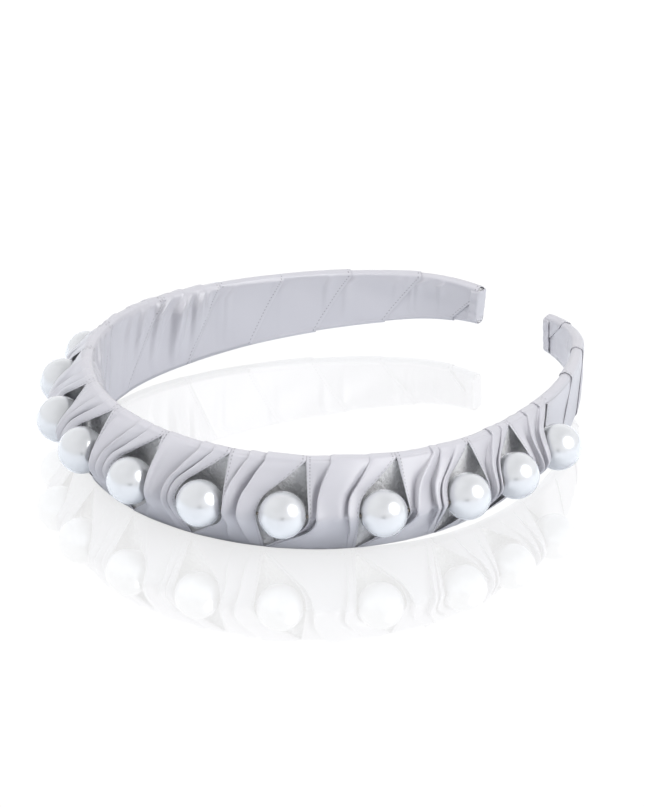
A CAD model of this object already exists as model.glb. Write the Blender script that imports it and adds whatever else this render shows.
import bmesh
import bpy
import numpy as np
from mathutils import Matrix, Vector


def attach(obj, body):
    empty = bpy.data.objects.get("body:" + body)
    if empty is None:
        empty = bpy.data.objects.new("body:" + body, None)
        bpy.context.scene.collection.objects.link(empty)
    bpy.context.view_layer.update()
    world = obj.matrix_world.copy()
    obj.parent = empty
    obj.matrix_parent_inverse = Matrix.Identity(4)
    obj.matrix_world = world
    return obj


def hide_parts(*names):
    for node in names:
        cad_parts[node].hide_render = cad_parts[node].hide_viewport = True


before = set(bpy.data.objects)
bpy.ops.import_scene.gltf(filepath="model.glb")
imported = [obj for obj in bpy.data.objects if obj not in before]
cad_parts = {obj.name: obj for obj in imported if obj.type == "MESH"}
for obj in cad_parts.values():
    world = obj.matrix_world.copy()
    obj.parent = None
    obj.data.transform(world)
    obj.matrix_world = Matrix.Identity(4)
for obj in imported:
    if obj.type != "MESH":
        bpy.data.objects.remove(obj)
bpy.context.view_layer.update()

# ---- Camera -------------------------------------------------------------------------------------
# It looks down on the band from beyond its right-hand side, with a long lens and a slight roll.
MM = 0.001
VIEW_TURN, VIEW_DOWN, VIEW_ROLL = np.radians([-42.959, 25.041, 1.6])
VIEW_FAR = 1435.6 * MM
VIEW_ASIDE = (0.334 * MM, -10.323 * MM)
FOCAL_LENGTH = 248.66

turn_c, turn_s = np.cos(VIEW_TURN), np.sin(VIEW_TURN)
down_c, down_s = np.cos(VIEW_DOWN), np.sin(VIEW_DOWN)
roll_c, roll_s = np.cos(VIEW_ROLL), np.sin(VIEW_ROLL)
view_right = Vector((turn_c, -turn_s, 0))
view_up = Vector((turn_s * down_s, turn_c * down_s, down_c))
view_ahead = Vector((turn_s * down_c, turn_c * down_c, -down_s))
camera = bpy.data.objects.new("camera", bpy.data.cameras.new("camera"))
bpy.context.collection.objects.link(camera)
camera.data.lens = FOCAL_LENGTH
camera.data.clip_end = 50  # past the floor's far corner
seat = -VIEW_ASIDE[0] * view_right - VIEW_ASIDE[1] * view_up - VIEW_FAR * view_ahead
axes = (roll_c * view_right + roll_s * view_up, roll_c * view_up - roll_s * view_right, -view_ahead)
camera.matrix_world = Matrix.Translation(seat) @ Matrix(axes).transposed().to_4x4()
bpy.context.scene.camera = camera

# ---- Hoop ---------------------------------------------------------------------------------------
# A moulded plastic hoop, three arcs a side, full width over the crown and narrow at the curled tips.
# It is covered all over, so its solid shows nowhere and needs only its plastic.
BAND_W, TIP_W = 25.4 * MM, 10.4 * MM
CROWN_R, SIDE_R, TIP_R = 57 * MM, 113 * MM, 28 * MM
CROWN_ANGLE, SIDE_ANGLE, TIP_ANGLE = np.radians([94, 36, 44])
LEVEL_L = 45 * MM  # from the crown to where the taper starts
TAPER = 1.5  # power of the taper, slow at first
HOOP_T = 1.6 * MM

# What the pieces on the hoop need of it, and it of them: thicknesses, the space between layers, and
# the pearls with their pitch and the way that hand winding pushes each along the string
LINING_T, RIBBON_T, LAY = 0.3 * MM, 0.35 * MM, 0.1 * MM
PEARL_R, PEARL_PITCH, PEARL_GAP = 6 * MM, 19.3 * MM, 0.3 * MM
SIDE_PEARLS = 6
STRAY = np.array([0, 0, 5, 2, 3, 0.5, 0, -0.5, -1, 2, 3.5, 0, 0]) * MM
WOUND_T = 2 * LAY + 3.4 * RIBBON_T  # how thick the winding is at the tips

crown_l, side_l = CROWN_R * CROWN_ANGLE, SIDE_R * SIDE_ANGLE
half_l = crown_l + side_l + TIP_R * TIP_ANGLE
lined_out = HOOP_T / 2 + LAY / 2 + LINING_T
lined_h = BAND_W / 2 - LAY - RIBBON_T
pearl_out = lined_out + PEARL_GAP + PEARL_R


def turn_on(x, y, a, r, b):
    """From x, y and heading a, round an arc of radius r through the angle b."""
    return x + r * (np.sin(a + b) - np.sin(a)), y - r * (np.cos(a + b) - np.cos(a)), a + b


def hoop_line(s):
    """Middle of the hoop's thickness at s, measured from the crown: x, y and heading."""
    s = np.asarray(s, float)
    far, side = np.abs(s), np.where(s < 0, -1.0, 1.0)
    x, y, a = turn_on(0, 0, 0, CROWN_R, np.minimum(far, crown_l) / CROWN_R)
    x, y, a = turn_on(x, y, a, SIDE_R, np.clip(far - crown_l, 0, side_l) / SIDE_R)
    x, y, a = turn_on(x, y, a, TIP_R, np.clip(far - crown_l - side_l, 0, TIP_R * TIP_ANGLE) / TIP_R)
    past = np.maximum(far - half_l, 0)
    return side * (x + past * np.cos(a)), y + past * np.sin(a), side * a


tip_y = float(hoop_line(half_l)[1])
y_shift = (pearl_out + PEARL_R - tip_y - lined_out - WOUND_T) / 2


def hoop_point(s, out, z):
    """The point at s along the hoop, out from the middle of its thickness and z above its middle."""
    x, y, a = hoop_line(s)
    place = x + out * np.sin(a), y + y_shift - out * np.cos(a), z + BAND_W / 2
    return np.stack(np.broadcast_arrays(*place), -1)


def lined_half_h(s):
    """Half the height of the lined hoop at s."""
    far = np.clip((np.abs(s) - LEVEL_L) / (half_l - LEVEL_L), 0, 1)
    return lined_h - (BAND_W - TIP_W) / 2 * far**TAPER


def material(name, colour, roughness):
    """A node material whose plain values sit on the shader's own sockets."""
    m = bpy.data.materials.new(name)
    m.use_nodes = True
    shader = m.node_tree.nodes["Principled BSDF"]
    shader.inputs["Base Color"].default_value = (*colour, 1)
    shader.inputs["Roughness"].default_value = roughness
    return m, m.node_tree.nodes, m.node_tree.links, shader


def grain(nodes, links, shader, scale, depth):
    """A fine unevenness from noise in the piece's own space: scale per metre, depth in metres."""
    where = nodes.new("ShaderNodeTexCoord")
    noise = nodes.new("ShaderNodeTexNoise")
    noise.inputs["Scale"].default_value = scale
    noise.inputs["Detail"].default_value = 4
    bump = nodes.new("ShaderNodeBump")
    bump.inputs["Distance"].default_value = depth
    links.new(where.outputs["Object"], noise.inputs["Vector"])
    links.new(noise.outputs["Fac"], bump.inputs["Height"])
    links.new(bump.outputs[0], shader.inputs["Normal"])


plastic, nodes, links, shader = material("moulded plastic", (0.83, 0.83, 0.82), 0.45)
grain(nodes, links, shader, scale=900, depth=0.04 * MM)
hoop = bpy.data.objects["hoop_core"]
hoop.data.materials.clear()
hoop.data.materials.append(plastic)


def loft_mesh(name, points, uv=None, close_ring=False, thickness=0.0, grows=1):
    """A skin over a grid of points, rows by columns, that grows outwards (1) or inwards (-1)."""
    rows, cols = points.shape[:2]
    index = np.arange(rows * cols).reshape(rows, cols)
    right = np.roll(index, -1, 1) if close_ring else index[:, 1:]
    left = index if close_ring else index[:, :-1]
    faces = np.stack([left[:-1], right[:-1], right[1:], left[1:]], -1).reshape(-1, 4)
    mesh = bpy.data.meshes.new(name)
    mesh.from_pydata(points.reshape(-1, 3).tolist(), [], faces.tolist())
    if uv is not None:
        layer = mesh.uv_layers.new(name="run")
        layer.data.foreach_set("uv", uv.reshape(-1, 2)[faces.ravel()].ravel())
    mesh.polygons.foreach_set("use_smooth", [True] * len(mesh.polygons))
    piece = bpy.data.objects.new(name, mesh)
    bpy.context.collection.objects.link(piece)
    if thickness:
        wall = piece.modifiers.new("thickness", "SOLIDIFY")
        wall.thickness = thickness
        wall.offset = grows
    return piece


# ---- Lining -------------------------------------------------------------------------------------
# A strip of the same satin, glued round the hoop with its edges meeting along the inside. It shows
# only over and under the pearls, dull and a little rumpled where the ribbon's pull drags at it.
CORNER, INNER_CORNER = 0.95 * MM, 0.5 * MM
LINING_SKIN = 0.8 * LINING_T  # a little thinner than the strip, clear of the hoop
RUMPLES, RUMPLE_H, RUMPLE_MOST = 26, 0.035 * MM, 0.12 * MM


def round_section(w, h, off, face, v, lean=0.0):
    """Out and z at v, from -1 to 1, on a face of the lined hoop, whose long edges are rounded.
    Faces: 0 outer, 0.5 its upper corner, 1 top, 1.5, 2 inner, 2.5, 3 bottom, 3.5. What leans away
    from the outer face leaves its corners at that angle."""
    a = (v + 1) * np.pi / 4
    steep = lean + (np.pi / 2 - lean) * (v + 1) / 2
    flat_w, flat_h, r = w - CORNER, h - CORNER, CORNER + off
    in_w, in_h, in_r = w - INNER_CORNER, h - INNER_CORNER, INNER_CORNER + off
    edge_r = CORNER + LAY
    choices = [
        (w + off - edge_r * (1 - np.cos(lean)) * v * v, v * (flat_h + edge_r * np.sin(lean))),
        (flat_w + r * np.cos(steep), flat_h + r * np.sin(steep)),
        (flat_w - (flat_w + in_w) * (1 + v) / 2, h + off),
        (-in_w - in_r * np.sin(a), in_h + in_r * np.cos(a)),
        (-w - off, -v * in_h),
        (-in_w - in_r * np.cos(a), -in_h - in_r * np.sin(a)),
        ((flat_w + in_w) * (1 + v) / 2 - in_w, -h - off),
        (flat_w + r * np.sin(steep - lean), -flat_h - r * np.cos(steep - lean)),
    ]
    which = [face == i / 2 for i in range(8)]
    return (np.select(which, [c[i] + 0 * v for c in choices]) for i in (0, 1))


rng = np.random.default_rng(7)
along = np.linspace(-half_l, half_l, 740)[:, None]
# The way round the section from the middle of the inside: face, from, to and number of points
faces_round = [(2.0, 0.05, 1, 8), (2.5, -1, 1, 4), (3.0, -1, 1, 3), (3.5, -1, 1, 4), (0.0, -1, 1, 26)]
faces_round += [(0.5, -1, 1, 4), (1.0, -1, 1, 3), (1.5, -1, 1, 4), (2.0, -1, -0.05, 8)]
face = np.concatenate([np.full(n, f) for f, a, b, n in faces_round])[None]
v = np.concatenate([np.linspace(a, b, n) for f, a, b, n in faces_round])[None]
rumple = np.zeros(np.broadcast_shapes(along.shape, v.shape))
for _ in range(RUMPLES):
    per_metre, over_height, phase = rng.normal(0, 520), rng.normal(0, 2.2), rng.uniform(0, 2 * np.pi)
    rumple = rumple + np.sin(per_metre * along + over_height * v + phase)
rumple = RUMPLE_H * rumple * (face == 0) * (1 - v**6)
out, z = round_section(lined_out, lined_half_h(along), np.minimum(rumple, RUMPLE_MOST), face, v)
points = hoop_point(along, out, z)[:, ::-1]
lining = loft_mesh("satin_lining_skin", points, thickness=LINING_SKIN, grows=-1)
lining_satin, nodes, links, shader = material("lining satin", (0.80, 0.80, 0.81), 0.38)
shader.inputs["Sheen Weight"].default_value = 0.3
grain(nodes, links, shader, scale=1000, depth=0.6 * MM)
lining.data.materials.append(lining_satin)
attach(lining, "band")
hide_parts("satin_lining")

# ---- Ribbon -------------------------------------------------------------------------------------
# One satin ribbon, 22 mm wide with woven selvedges, wound from tip to tip. On the arms each turn laps
# the last. Between pearls it is drawn up over the string and gathered into folds that fan out.
RIBBON_W = 22 * MM
LAP_L = 4 * MM  # how far a turn runs under the next one
THIN = 0.2 * MM  # the satin itself, without its hem
SHINGLE = 0.34 * MM  # how far a flat turn's left edge rides up on the turn before
RIBBON_GAP = 0.45 * MM  # between a pearl and the ribbon beside it
END_TUCK = 0.6  # how closely the arms' first turns run under the end pearls
RIDGE_OUT = pearl_out + 0.6 * MM  # where the ribbon crosses the string
SHORTEST = 1.0 * MM  # a row that the tip cuts off shorter than this is left out
quarter = PEARL_PITCH / 4


def is_pearl(k):
    return abs(k) <= SIDE_PEARLS


def spot(k):
    """Where pearl k sits along the hoop, or on the arms, where a turn of the ribbon starts."""
    return k * PEARL_PITCH + (STRAY[k + SIDE_PEARLS] if is_pearl(k) else 0)


def beside(z, h, apex, r):
    """How far beside a pearl's middle the edge lies at z, from the upper apex round the pearl."""
    lean, turn = np.arctan2(h, apex), np.arccos(r / np.hypot(h, apex))
    low, high = lean + turn - np.pi, lean - turn
    knots = [-h, r * np.sin(low), r * np.sin(high), h]
    straight = np.interp(z, knots, [-apex, r * np.cos(low), r * np.cos(high), apex])
    on_arc = (z > knots[1]) & (z < knots[2])
    return np.where(on_arc, np.sqrt(np.maximum(r * r - z * z, 0)), straight)


def winding_edge(k, face, v, side, tent):
    """Where the ribbon's edge at place k lies, all round the section."""
    s, following, h = spot(k), spot(k + 1), lined_half_h(spot(k)) - CORNER
    grow = 1 + pearl_out / (CROWN_R if abs(s) < crown_l else SIDE_R)
    if is_pearl(k):
        round_pearl = (PEARL_R + RIBBON_GAP) * (1 if tent else END_TUCK)
        outer = s + side * beside(side * v * h, h, quarter * grow, round_pearl) / grow
    else:
        outer = s + v * quarter
    inner = s + quarter + (following - s - 2 * quarter) * (1 + v) / 2
    return np.select([face == 0, face < 2, face == 2], [outer, s + quarter, inner], following - quarter)


# The way round one turn, face and rows: the outer face, the top edge, the inner face, the bottom edge
turn_faces = [(0.0, 61), (0.5, 5), (1.0, 3), (1.5, 5), (2.0, 25), (2.5, 5), (3.0, 3), (3.5, 5)]
turn_face = np.concatenate([np.full(n, f) for f, n in turn_faces])
turn_v = np.concatenate([np.linspace(-1, 1, n, endpoint=f in (0.0, 2.0)) for f, n in turn_faces])
ACROSS = np.linspace(-1, 1, 121)  # the columns of the ribbon, from its left edge to its right

# The folds of each pass after pearl k: how far across it each runs at the top edge, at the string and
# at the bottom edge, and how high it stands in mm. Below zero its lip is turned to the left.
FOLDS = {
    -6: [(-0.5, -0.6, -0.4, -0.6), (0.2, 0.1, 0.3, -0.7), (0.6, 0.7, 0.6, -0.4)],
    -5: [(-0.6, -0.8, -0.7, 0.6), (-0.1, -0.5, 0.0, 0.5), (0.4, 0.6, 0.5, -0.7), (0.75, 0.87, 0.8, -0.4)],
    -4: [(-0.5, -0.4, -0.2, -0.7), (0.1, 0.2, 0.3, -0.8), (0.6, 0.75, 0.7, -0.5)],
    -3: [(-0.3, -0.6, -0.3, -0.8), (0.35, 0.15, 0.5, -0.8), (0.7, 0.72, 0.8, -0.5)],
    -2: [(-0.6, -0.55, -0.3, -0.7), (0.0, 0.0, 0.1, -0.9), (0.5, 0.5, 0.6, -0.8)],
    -1: [(-0.63, -0.3, -0.1, -1.3), (0.11, 0.35, 0.5, -1.2), (0.5, 0.75, 0.8, -0.5)],
    0: [(-0.85, -0.75, -0.45, -0.9), (0.21, 0.5, 0.6, -1.3), (0.57, 0.8, 0.85, -0.7)],
    1: [(-0.45, -0.77, 0.17, -1.0), (0.0, 0.17, 0.68, -1.5)],
    2: [(-0.45, -0.56, -0.92, -1.3), (0.4, 0.7, 0.8, -0.8)],
    3: [(-0.06, -0.62, -0.92, -1.2), (0.15, 0.45, 0.8, -1.0), (0.6, 0.8, 0.95, -0.6)],
    4: [(0.05, -0.45, -0.2, -1.3), (0.6, 0.5, 0.6, -0.7)],
    5: [(-0.16, -0.42, -0.3, -1.1), (0.55, 0.3, 0.4, -1.1)],
}
# How far the folds stand up, and how soft they are in columns of the cloth, on the way from the bottom
# edge (-1) over the string (0) and the top edge (1) and down the inner face (3.2)
WAY = [-1.0, -0.85, -0.5, -0.15, 0.05, 0.35, 0.65, 0.9, 1.0, 1.05, 1.12, 1.3, 2.2, 3.2]
STAND = [0.05, 0.2, 0.55, 0.9, 1.0, 1.0, 0.9, 0.7, 0.45, 0.3, 0.1, 0.1, 0.1, 0.0]
SOFT = [4.0, 3.0, 1.8, 0.9, 0.7, 0.8, 1.1, 1.6, 2.0, 3.0, 4.0, 4.0, 4.0, 4.0]
# The same way, how far a fold's foot sinks below the pass, as a share of its height
SINK_WAY, SINK = [-0.9, -0.6, 0.5, 0.9], [0.1, 0.75, 0.75, 0.1]
FOLD_H = 1.55  # all the folds' heights together
LAP_OF_H, LAP_MOST = 0.6, 0.14  # how far a lip laps, by its height, and at most as a share of the pass
CROWN_OF_FALL = 0.16  # how much the cloth between two folds crowns
WIDE_PASSES, WIDE_EASE, EASE = (2, 3), 1.8, 0.7  # how softly the wide passes and the others are drawn
REACH = 24  # columns on each side that the softening takes in


def soft_fall(a, b):
    """From point a to point b of the ribbon's section, nearly flat, as cloth drawn tight lies."""
    part = np.linspace(0, 1, 9)[1:-1]
    crown = CROWN_OF_FALL * abs(b[1] - a[1]) * np.sin(np.pi * part)
    return [(a[0] + f * (b[0] - a[0]), a[1] + f * (b[1] - a[1]) + c) for f, c in zip(part, crown)]


def folded_section(folds, level, half_width):
    """The ribbon's section across a pass: places from -1 to 1 and heights, with each fold's lip,
    throat and foot."""
    stand = float(np.interp(level, WAY, STAND))
    sink = float(np.interp(level, SINK_WAY, SINK))
    section = [(-1.0, 0.0)]
    for top, ridge, bottom, height in folds:
        t = float(np.interp(level, [-1, 0, 1], [bottom, ridge, top]))
        h = FOLD_H * abs(height) * MM * stand
        lap = min(LAP_OF_H * h / half_width, LAP_MOST) * stand
        fold = [(t + lap, h), (t - 0.5 * lap, 0.2 * h), (t + 0.5 * lap, -sink * h)]
        if height < 0:
            fold = [(2 * t - x, z) for x, z in fold[::-1]]
        section += soft_fall(section[-1], fold[0]) + fold
    return np.array(section + soft_fall(section[-1], (1.0, 0.0)) + [(1.0, 0.0)])


def folded(folds, levels, half_widths, ease):
    """The same cloth, column by column, at every level of a pass; ease is how softly it is drawn."""
    narrowest = float(half_widths.min())
    middle = folded_section(folds, 0.0, narrowest)
    steps = np.hypot(np.diff(middle[:, 0]) * narrowest, np.diff(middle[:, 1]))
    cloth = np.concatenate([[0], np.cumsum(steps)]) / steps.sum() * 2 - 1
    rows = [folded_section(folds, level, width) for level, width in zip(levels, half_widths)]
    both = np.array([[np.interp(ACROSS, cloth, row[:, i]) for i in (0, 1)] for row in rows])
    spread = np.arange(-REACH, REACH + 1)
    for row, level in zip(both, levels):
        blur = np.exp(-0.5 * (spread / (ease * np.interp(level, WAY, SOFT))) ** 2)
        for i in (0, 1):
            ends = 2 * row[i][[0, -1]]
            before, after = ends[0] - row[i][REACH:0:-1], ends[1] - row[i][-2 : -REACH - 2 : -1]
            row[i] = np.convolve(np.concatenate([before, row[i], after]), blur / blur.sum(), "valid")
    return both[:, 0], both[:, 1]


ARM_LAP = 0.35  # share of the lap that stays at the arms' rims, and of the face over which it fades
BOW, LONG_BOW, LONG_PASS = 0.25, 0.06, 20 * MM  # how round the tent's ridge is, and sharper if long
BELLY = 0.2 * MM  # how far the tent's sides swell
CORD_ROOM = 0.1  # half the height of the room for the cord, as a share of the face
# Creases that the winding's pull leaves: how many, how wide as a share of the pass, how high in mm,
# how far aslant, and how strongly they show on the way round
OUTER_PULL = ([-0.4, 0.0, 0.5, 0.8, 1.0], [0, 0.4, 1, 0.6, 0.05])
INNER_PULL = ([1.0, 1.15, 1.4, 1.6, 2.2, 3.2], [0, 0.04, 0.8, 1, 0.6, 0])
GATHERED_CREASES = [(2, 0.3, 0.8, 0.0, OUTER_PULL), (7, 0.12, 1.7, 0.4, INNER_PULL)]
ARM_CREASES = [(3, 0.1, 0.4, 0.4, INNER_PULL)]
STILL_L = 6 * MM  # the creases fade out over this length before the tips
UNEVEN_H = 0.14 * MM
RIM_CROWN = 0.22 * MM  # how far the ribbon crowns over the band's top edge
RIDGE_LEAN = 1.15  # how much steeper than straight the tent leaves the band's edges
TURN_GAP = 0.5 * MM  # ribbon between the last row of a turn and the first of the next


def turn_edges(k, face, v, tent):
    """Where the turn after place k starts and stops along the hoop, all round. On the arms it runs
    under the next turn all the way round, and before a pearl only along the inside."""
    start = winding_edge(k, face, v, 1, tent)
    stop = winding_edge(k + 1, face, v, -1, tent)
    lap = np.where(face % 2 == 0, np.clip((1 - np.abs(v)) / ARM_LAP, 0, 1), 0)
    lap = np.maximum(lap, 0.0 if is_pearl(k) or is_pearl(k + 1) else ARM_LAP)
    if is_pearl(k + 1):
        lap = np.where(face == 0, 0, lap)
    return start, stop + LAP_L * lap - LAY / 2 * (1 - lap)


def over_string(k, face, v, off, relief):
    """Draw a pass up over the string like a tent, with its folds, and leave room for the cord."""
    bow = LONG_BOW if spot(k + 1) - spot(k) > LONG_PASS else BOW
    rise = (RIDGE_OUT - lined_out - LAY) * (1 - (np.hypot(v, bow) - bow) / (np.hypot(1, bow) - bow))
    swell = BELLY * (1 - np.abs(v)) ** 2
    off = off + relief + np.where(face == 0, np.maximum(rise, 0) + swell, 0)
    room = (RIDGE_OUT - lined_out) * np.clip(1.5 - np.abs(v) / CORD_ROOM, 0, 1)
    return np.where(face == 0, np.maximum(off, room), off)


def creases(rng, kinds, level, t):
    """Heights of the creases across a turn, each gentle on its left and steep on its right."""
    height = 0
    for count, width, most, slant, pull in kinds:
        drawn = np.interp(level, *pull)[:, None]
        for _ in range(count):
            at, wide = rng.uniform(-1, 1), width * rng.uniform(0.6, 1.6)
            tall = most * rng.uniform(0.3, 1) * MM
            aside = (t - at + slant * (level[:, None] - 1.2)) / wide
            height = height + drawn * tall * np.exp(-((aside * np.where(aside > 0, 2.5, 1)) ** 2))
    return height


winding, winding_uv = [], []
turns = int(np.ceil(half_l / PEARL_PITCH)) + 1
run = 0.0
for k in range(-turns, turns + 1):
    tent = is_pearl(k) and is_pearl(k + 1)
    on_arm = not is_pearl(k) and not is_pearl(k + 1)
    rng = np.random.default_rng(100 + k + turns)
    face, v, t = turn_face[:, None], turn_v[:, None], ACROSS[None]
    over_rim = 0.975 + face / 10 + v / 40
    level = np.select([face == 0, face < 2, face == 2], [v, over_rim, 2.2 + v], 3.2)[:, 0]
    start, stop = turn_edges(k, face, v, tent)
    low, high = np.maximum(start, -half_l), np.minimum(stop, half_l)
    keep = (high - low > SHORTEST)[:, 0]
    relief = 0
    if tent:
        ease = WIDE_EASE if k in WIDE_PASSES else EASE
        t, relief = folded(FOLDS[k], level, (high - low)[:, 0] / 2, ease)
    s = low + (high - low) * (1 + t) / 2
    lapped = (face == 0) | (face == 2) | on_arm
    off = LAY + np.where(lapped, SHINGLE * (stop - s) / (stop - start), 0)
    if tent:
        off = over_string(k, face, v, off, relief)
    still = np.clip((half_l - np.abs(s)) / STILL_L - 0.4, 0, 1)
    pulled = creases(rng, GATHERED_CREASES if tent else ARM_CREASES, level, t)
    off = off + pulled * (1 - t**8) * still
    uneven = 0
    for _ in range(4):
        uneven = uneven + np.sin(rng.uniform(1, 4) * t + rng.uniform(1, 5) * v + rng.uniform(0, 6))
    fade = (1 - np.abs(v)) ** 0.5 * (1 - t**2) * still
    off = off + np.where(face % 2 == 0, UNEVEN_H * uneven * fade, 0)
    off = np.maximum(off, LAY / 2) + np.where(face == 1, RIM_CROWN * (1 - v**2), 0)
    lean = np.arctan(RIDGE_LEAN * (RIDGE_OUT - lined_out) / lined_half_h(spot(k))) if tent else 0.0
    out, z = round_section(lined_out, lined_half_h(s), off, face + 0 * t, v + 0 * t, lean)
    points = hoop_point(s, out, z)
    middle = points[:, len(ACROSS) // 2]
    step = np.linalg.norm(np.diff(middle, axis=0, prepend=middle[:1]), axis=1)
    length = run + np.cumsum(step)
    run = length[-1] + TURN_GAP
    uv = np.stack(np.broadcast_arrays(t * RIBBON_W / 2, length[:, None]), -1)
    winding.append(points[keep])
    winding_uv.append(uv[keep])
cloth, cloth_uv = np.concatenate(winding), np.concatenate(winding_uv)
ribbon = loft_mesh("wound_ribbon_satin", cloth, uv=cloth_uv, thickness=THIN)

SATIN_TINT, PICK_TINT = (0.47, 0.465, 0.50), (0.27, 0.265, 0.29)
satin, nodes, links, shader = material("ribbon satin", SATIN_TINT, 0.3)
shader.inputs["Sheen Weight"].default_value = 0.15
shader.inputs["Anisotropic"].default_value = 0.5
place = nodes.new("ShaderNodeUVMap")
place.uv_map = "run"
parts = nodes.new("ShaderNodeSeparateXYZ")
links.new(place.outputs[0], parts.inputs[0])


def calc(nodes, links, operation, *values):
    """A maths node on plain values and other nodes' outputs."""
    n = nodes.new("ShaderNodeMath")
    n.operation = operation
    for socket, value in zip(n.inputs, values):
        if isinstance(value, (int, float)):
            socket.default_value = value
        else:
            links.new(value, socket)
    return n.outputs[0]


# Selvedge: a row of small picks, 0.9 mm in from each edge and one to a millimetre
ROW_IN, ROW_HALF_W, PICK_L = 0.9 * MM, 0.16 * MM, 1.0 * MM
from_middle = calc(nodes, links, "ABSOLUTE", parts.outputs["X"])
to_row = calc(nodes, links, "ABSOLUTE", calc(nodes, links, "SUBTRACT", from_middle, RIBBON_W / 2 - ROW_IN))
in_row = calc(nodes, links, "LESS_THAN", to_row, ROW_HALF_W)
beat = calc(nodes, links, "SINE", calc(nodes, links, "MULTIPLY", parts.outputs["Y"], 2 * np.pi / PICK_L))
picks = calc(nodes, links, "MULTIPLY", in_row, calc(nodes, links, "GREATER_THAN", beat, 0.2))
tint = nodes.new("ShaderNodeMix")
tint.data_type = "RGBA"
tint.inputs["A"].default_value = (*SATIN_TINT, 1)
tint.inputs["B"].default_value = (*PICK_TINT, 1)
links.new(picks, tint.inputs["Factor"])
links.new(tint.outputs["Result"], shader.inputs["Base Color"])

# Weave: fine threads that run along the ribbon
weave = nodes.new("ShaderNodeTexNoise")
weave.inputs["Scale"].default_value = 1.0
weave.inputs["Detail"].default_value = 3.0
threads = nodes.new("ShaderNodeMapping")
threads.inputs["Scale"].default_value = (9000, 900, 1)
links.new(place.outputs[0], threads.inputs["Vector"])
links.new(threads.outputs[0], weave.inputs["Vector"])
raised = calc(nodes, links, "SUBTRACT", calc(nodes, links, "MULTIPLY", weave.outputs["Fac"], 0.25), picks)
bump = nodes.new("ShaderNodeBump")
bump.inputs["Distance"].default_value = 0.08 * MM
bump.inputs["Strength"].default_value = 0.6
links.new(raised, bump.inputs["Height"])
links.new(bump.outputs[0], shader.inputs["Normal"])
ribbon.data.materials.append(satin)
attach(ribbon, "band")
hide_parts("wound_ribbon")

# At each tip the ribbon's end is turned back over the winding and glued down, its raw edge inside
FOLD_L = 2 * MM
SLANT_L = 0.35 * MM  # how much further the fold reaches at the top than in the middle
PUCKER_H = 0.07 * MM
FLAP_IN = 0.2 * MM  # the fold is this much lower than the lined hoop at each edge
snug = lined_out + LAY + SHINGLE + THIN + 0.05 * MM
for side, word in ((-1, "left"), (1, "right")):
    leg = half_l - FOLD_L * (1 - np.linspace(0, 1, 9))
    bend = np.linspace(0, np.pi, 15)[1:-1]
    s = np.concatenate([leg, half_l + LAY + 0 * bend, leg[::-1]])[:, None]
    lies_out = np.concatenate([np.full(9, snug), snug * np.cos(bend), np.full(9, -snug)])[:, None]
    rim = np.linspace(-1, 1, 33)[None]
    round_tip = np.concatenate([0 * leg, RIBBON_T * np.sin(bend) ** 0.3, 0 * leg])[:, None]
    s = s + round_tip + SLANT_L * (rim - 1)
    h = lined_half_h(np.minimum(s, half_l)) - FLAP_IN
    in_corner = np.clip((np.abs(rim) * h - h + CORNER) / CORNER, 0, 0.98)
    puckered = PUCKER_H * np.sin(9 * rim + 900 * s) - CORNER * (1 - np.sqrt(1 - in_corner**2))
    points = hoop_point(side * s, lies_out * (1 + puckered / snug), h * rim)
    flap = loft_mesh(f"tip_fold_{word}_satin", points[:, ::-1] if side > 0 else points, thickness=THIN)
    flap.data.materials.append(satin)
    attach(flap, "band")
    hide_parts(f"tip_fold_{word}")

# ---- Pearls -------------------------------------------------------------------------------------
# Moulded 12 mm beads with a pearl coat, drilled through, each hole's mouth worn a little wider. They
# are grey in the middle and bluish towards the rim.
STRING_R, BORE_R = 0.5 * MM, 0.6 * MM
MOUTH_R, MOUTH_L = 1.25 * BORE_R, 0.25 * MM
MIDDLE_TINT, RIM_TINT = (0.64, 0.65, 0.67), (0.71, 0.73, 0.76)
first = np.arcsin(MOUTH_R / PEARL_R)
lathe = np.linspace(first, np.pi - first, 49)
mouth_at = PEARL_R * np.cos(first)
profile = [(0, BORE_R), (mouth_at - MOUTH_L, BORE_R)]
profile += [(PEARL_R * np.cos(a), PEARL_R * np.sin(a)) for a in lathe]
profile += [(MOUTH_L - mouth_at, BORE_R), (0, BORE_R)]
coat, nodes, links, shader = material("pearl coat", MIDDLE_TINT, 0.24)
shader.inputs["Metallic"].default_value = 0.55
shader.inputs["Coat Weight"].default_value = 1.0
shader.inputs["Coat Roughness"].default_value = 0.11
edge_glow = nodes.new("ShaderNodeLayerWeight")
edge_glow.inputs["Blend"].default_value = 0.35
lustre = nodes.new("ShaderNodeMix")
lustre.data_type = "RGBA"
lustre.inputs["A"].default_value = (*MIDDLE_TINT, 1)
lustre.inputs["B"].default_value = (*RIM_TINT, 1)
links.new(edge_glow.outputs["Facing"], lustre.inputs["Factor"])
links.new(lustre.outputs["Result"], shader.inputs["Base Color"])
grain(nodes, links, shader, scale=450, depth=0.02 * MM)


def string_frame(k):
    """The middle of pearl k on the string, with X along the string."""
    heading = float(hoop_line(spot(k))[2])
    return Matrix.Translation(Vector(hoop_point(spot(k), pearl_out, 0))) @ Matrix.Rotation(heading, 4, "Z")


spin = np.linspace(0, 2 * np.pi, 72, endpoint=False)
bead = np.array([[(x, r * np.cos(a), r * np.sin(a)) for a in spin] for x, r in profile])
for k in range(-SIDE_PEARLS, SIDE_PEARLS + 1):
    node = f"pearl_{k + SIDE_PEARLS + 1:02d}"
    place = np.array(string_frame(k))
    pearl = loft_mesh(node + "_coated", bead @ place[:3, :3].T + place[:3, 3], close_ring=True)
    pearl.data.materials.append(coat)
    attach(pearl, node)
    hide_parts(node)

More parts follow.
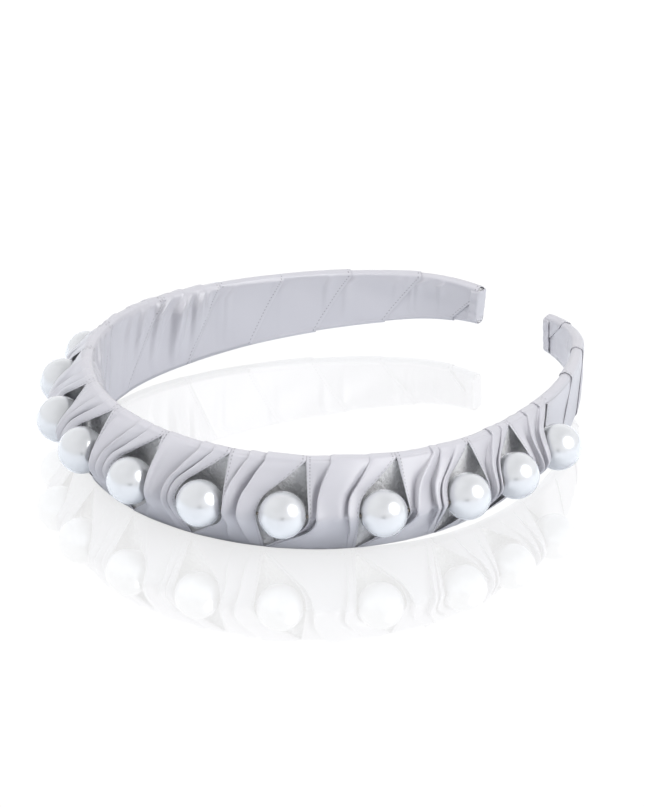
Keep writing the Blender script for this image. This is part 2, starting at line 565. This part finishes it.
# ---- String and knots ---------------------------------------------------------------------------
# A two-ply cord, 1 mm thick, through all the pearls. An overhand knot in it is drawn hard against the
# last pearl at each end, and the cord is cut short there.
PLY_TURN, KNOT_PLY_TURN = 3 * MM, 2 * MM  # length over which the plies turn once
PLY_DEPTH, KNOT_PLY_DEPTH = 0.14, 0.16
KNOT_R = 0.7 * STRING_R
mouth = PEARL_R + 2 * LAY
cord_colour, nodes, links, shader = material("cord", (0.30, 0.27, 0.23), 0.8)
grain(nodes, links, shader, scale=4000, depth=0.1 * MM)


def cord_mesh(name, path, r, ply_turn, ply_depth, sides=10):
    """A cord along a path, its section two-lobed and turning as the plies do."""
    path = np.asarray(path, float)
    ahead = np.gradient(path, axis=0)
    ahead /= np.linalg.norm(ahead, axis=1)[:, None]
    across = np.cross(ahead, (0, 0, 1))
    across /= np.linalg.norm(across, axis=1)[:, None]
    up = np.cross(across, ahead)
    gone = np.concatenate([[0], np.cumsum(np.linalg.norm(np.diff(path, axis=0), axis=1))])
    a = np.linspace(0, 2 * np.pi, sides, endpoint=False)[None]
    lobe = r * (1 - ply_depth + ply_depth * np.cos(2 * a - 4 * np.pi / ply_turn * gone[:, None]))
    aside, above = (lobe * np.cos(a))[..., None], (lobe * np.sin(a))[..., None]
    points = path[:, None] + aside * across[:, None] + above * up[:, None]
    ends = path[:1, None].repeat(sides, 1), path[-1:, None].repeat(sides, 1)
    piece = loft_mesh(name, np.concatenate([ends[0], points, ends[1]]), close_ring=True)
    bm = bmesh.new()
    bm.from_mesh(piece.data)
    bmesh.ops.remove_doubles(bm, verts=bm.verts, dist=1e-8)
    bmesh.ops.recalc_face_normals(bm, faces=bm.faces)
    bm.to_mesh(piece.data)
    bm.free()
    piece.data.materials.append(cord_colour)
    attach(piece, "band")
    return piece


string_path = []
for k in range(-SIDE_PEARLS, SIDE_PEARLS + 1):
    place = string_frame(k)
    string_path += [place @ Vector((x, 0, 0)) for x in np.linspace(-mouth, mouth, 30)]
    if k < SIDE_PEARLS:
        leaves, enters = string_path[-1], string_frame(k + 1) @ Vector((-mouth, 0, 0))
        string_path += [leaves.lerp(enters, f) for f in np.linspace(0, 1, 18)[1:-1]]
string = cord_mesh("pearl_string_twisted", string_path, 0.98 * STRING_R, PLY_TURN, PLY_DEPTH)
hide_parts("pearl_string")

a = np.radians(np.arange(70, 411, 4))
trefoil = [-1.3 * np.sin(3 * a)]
trefoil += [1.2 * (np.cos(a) - 2 * np.cos(2 * a)), 1.2 * (np.sin(a) + 2 * np.sin(2 * a))]
for side, word in ((-1, "left"), (1, "right")):
    past_pearl = Matrix.Translation((side * (mouth + LAY + 2.3 * KNOT_R), 0, 0))
    place = string_frame(side * SIDE_PEARLS) @ past_pearl
    path = [place @ Vector(p) for p in KNOT_R * np.stack(trefoil, -1)]
    knot = cord_mesh(f"string_knot_{word}_tied", path, KNOT_R, KNOT_PLY_TURN, KNOT_PLY_DEPTH)
    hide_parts(f"string_knot_{word}")

# ---- Floor --------------------------------------------------------------------------------------
# A sheet of white acrylic, 12 m square. It is white to the eye, with the pieces' shadow and a faint
# mirror image of them, and it throws a little bluish light up at them.
reach = 6
floor_mesh = bpy.data.meshes.new("floor")
corners = [(-reach, -reach, 0), (reach, -reach, 0), (reach, reach, 0), (-reach, reach, 0)]
floor_mesh.from_pydata(corners, [], [(0, 1, 2, 3)])
floor = bpy.data.objects.new("floor", floor_mesh)
bpy.context.collection.objects.link(floor)
acrylic, nodes, links, shader = material("floor acrylic", (0.86, 0.89, 0.93), 0.6)
shader.inputs["Specular IOR Level"].default_value = 0.0
shine = nodes.new("ShaderNodeBsdfPrincipled")
shine.inputs["Base Color"].default_value = (0.03, 0.03, 0.03, 1)
shine.inputs["IOR"].default_value = 2.0
shine.inputs["Specular IOR Level"].default_value = 1.0
shine.inputs["Roughness"].default_value = 0.04
shine.inputs["Emission Color"].default_value = (1, 1, 1, 1)
shine.inputs["Emission Strength"].default_value = 0.76
rays = nodes.new("ShaderNodeLightPath")
pick = nodes.new("ShaderNodeMixShader")
links.new(rays.outputs["Is Camera Ray"], pick.inputs["Fac"])
links.new(shader.outputs[0], pick.inputs[1])
links.new(shine.outputs[0], pick.inputs[2])
links.new(pick.outputs[0], nodes["Material Output"].inputs["Surface"])
floor.data.materials.append(acrylic)

# ---- Light --------------------------------------------------------------------------------------
# A round soft box on the right, a square one overhead and a weak one on the left, in a dim room. The
# room is white to the camera and in mirror images, where it turns greyer towards the ceiling.
ROOM_TINT, ROOM_STRENGTH = (0.95, 0.97, 1.0), 0.25
CEILING_FROM, CEILING_GREY = 0.4, 0.55
SOFT_BOX_SIZE, OVERHEAD_SIZE = 0.8, 0.9
KEY_POWER, OVERHEAD_POWER, FILL_POWER = 8.4, 12.0, 2.0

world = bpy.data.worlds.new("studio")
bpy.context.scene.world = world
world.use_nodes = True
nodes, links = world.node_tree.nodes, world.node_tree.links
room = nodes["Background"]
room.inputs["Color"].default_value = (*ROOM_TINT, 1)
room.inputs["Strength"].default_value = ROOM_STRENGTH
seen = nodes.new("ShaderNodeBackground")
seen.inputs["Color"].default_value = (1, 1, 1, 1)
where, height = nodes.new("ShaderNodeTexCoord"), nodes.new("ShaderNodeSeparateXYZ")
links.new(where.outputs["Generated"], height.inputs[0])
rays = nodes.new("ShaderNodeLightPath")
above = calc(nodes, links, "SUBTRACT", height.outputs["Z"], CEILING_FROM)
ceiling = calc(nodes, links, "MAXIMUM", above, 0.0)
mirrored = calc(nodes, links, "MULTIPLY", rays.outputs["Is Glossy Ray"], ceiling)
greyer = calc(nodes, links, "MULTIPLY", mirrored, CEILING_GREY)
links.new(calc(nodes, links, "SUBTRACT", 1.0, greyer), seen.inputs["Strength"])
pick = nodes.new("ShaderNodeMixShader")
straight = calc(nodes, links, "MAXIMUM", rays.outputs["Is Camera Ray"], rays.outputs["Is Glossy Ray"])
links.new(straight, pick.inputs["Fac"])
links.new(room.outputs[0], pick.inputs[1])
links.new(seen.outputs[0], pick.inputs[2])
links.new(pick.outputs[0], nodes["World Output"].inputs["Surface"])


def soft_box(name, place, size, power, shape="SQUARE"):
    """An area lamp at the place, aimed at the band's middle just over the floor."""
    lamp = bpy.data.lights.new(name, "AREA")
    lamp.shape = shape
    lamp.size = size
    lamp.energy = power
    box = bpy.data.objects.new(name, lamp)
    box.location = place
    box.rotation_euler = (Vector((0, 0, 0.01)) - Vector(place)).to_track_quat("-Z", "Y").to_euler()
    bpy.context.collection.objects.link(box)
    return box


key_from = 0.74 * view_right + 0.33 * view_up - 0.58 * view_ahead
overhead_from = (-0.35, -0.35, 1.0)
fill_from = -0.85 * view_right - 0.35 * view_ahead + Vector((0, 0, 0.45))
soft_box("key", key_from, SOFT_BOX_SIZE, KEY_POWER, shape="DISK")
soft_box("overhead", overhead_from, OVERHEAD_SIZE, OVERHEAD_POWER).visible_glossy = False
soft_box("fill", fill_from, SOFT_BOX_SIZE, FILL_POWER).visible_glossy = False
bpy.context.scene.view_settings.view_transform = "Standard"

# ---- Camera stand -------------------------------------------------------------------------------
# The round dark front of a camera stand, before the band, which every pearl mirrors as a small spot.
# It is there only for rays that come from the band, so that the shiny floor shows nothing of it.
STAND_FAR, STAND_H, STAND_R, BAND_REACH = 1.2, 0.12, 0.15, 0.09
stand_from = Vector((0, 0, STAND_H)) - STAND_FAR * Vector((view_ahead[0], view_ahead[1], 0)).normalized()
around = np.linspace(0, 2 * np.pi, 24, endpoint=False)
stand_mesh = bpy.data.meshes.new("camera_stand")
stand_mesh.from_pydata([(STAND_R * np.cos(a), STAND_R * np.sin(a), 0) for a in around], [], [range(24)])
camera_stand = bpy.data.objects.new("camera_stand", stand_mesh)
facing = stand_from.to_track_quat("Z", "Y").to_matrix().to_4x4()
camera_stand.matrix_world = Matrix.Translation(stand_from) @ facing
camera_stand.visible_camera = False
camera_stand.visible_shadow = False
bpy.context.collection.objects.link(camera_stand)
dark, nodes, links, shader = material("camera black", (0.02, 0.02, 0.02), 0.7)
rays, pick = nodes.new("ShaderNodeLightPath"), nodes.new("ShaderNodeMixShader")
past_band = calc(nodes, links, "SUBTRACT", rays.outputs["Ray Length"], STAND_FAR)
off_by = calc(nodes, links, "ABSOLUTE", past_band)
links.new(calc(nodes, links, "LESS_THAN", off_by, BAND_REACH), pick.inputs["Fac"])
links.new(nodes.new("ShaderNodeBsdfTransparent").outputs[0], pick.inputs[1])
links.new(shader.outputs[0], pick.inputs[2])
links.new(pick.outputs[0], nodes["Material Output"].inputs["Surface"])
camera_stand.data.materials.append(dark)
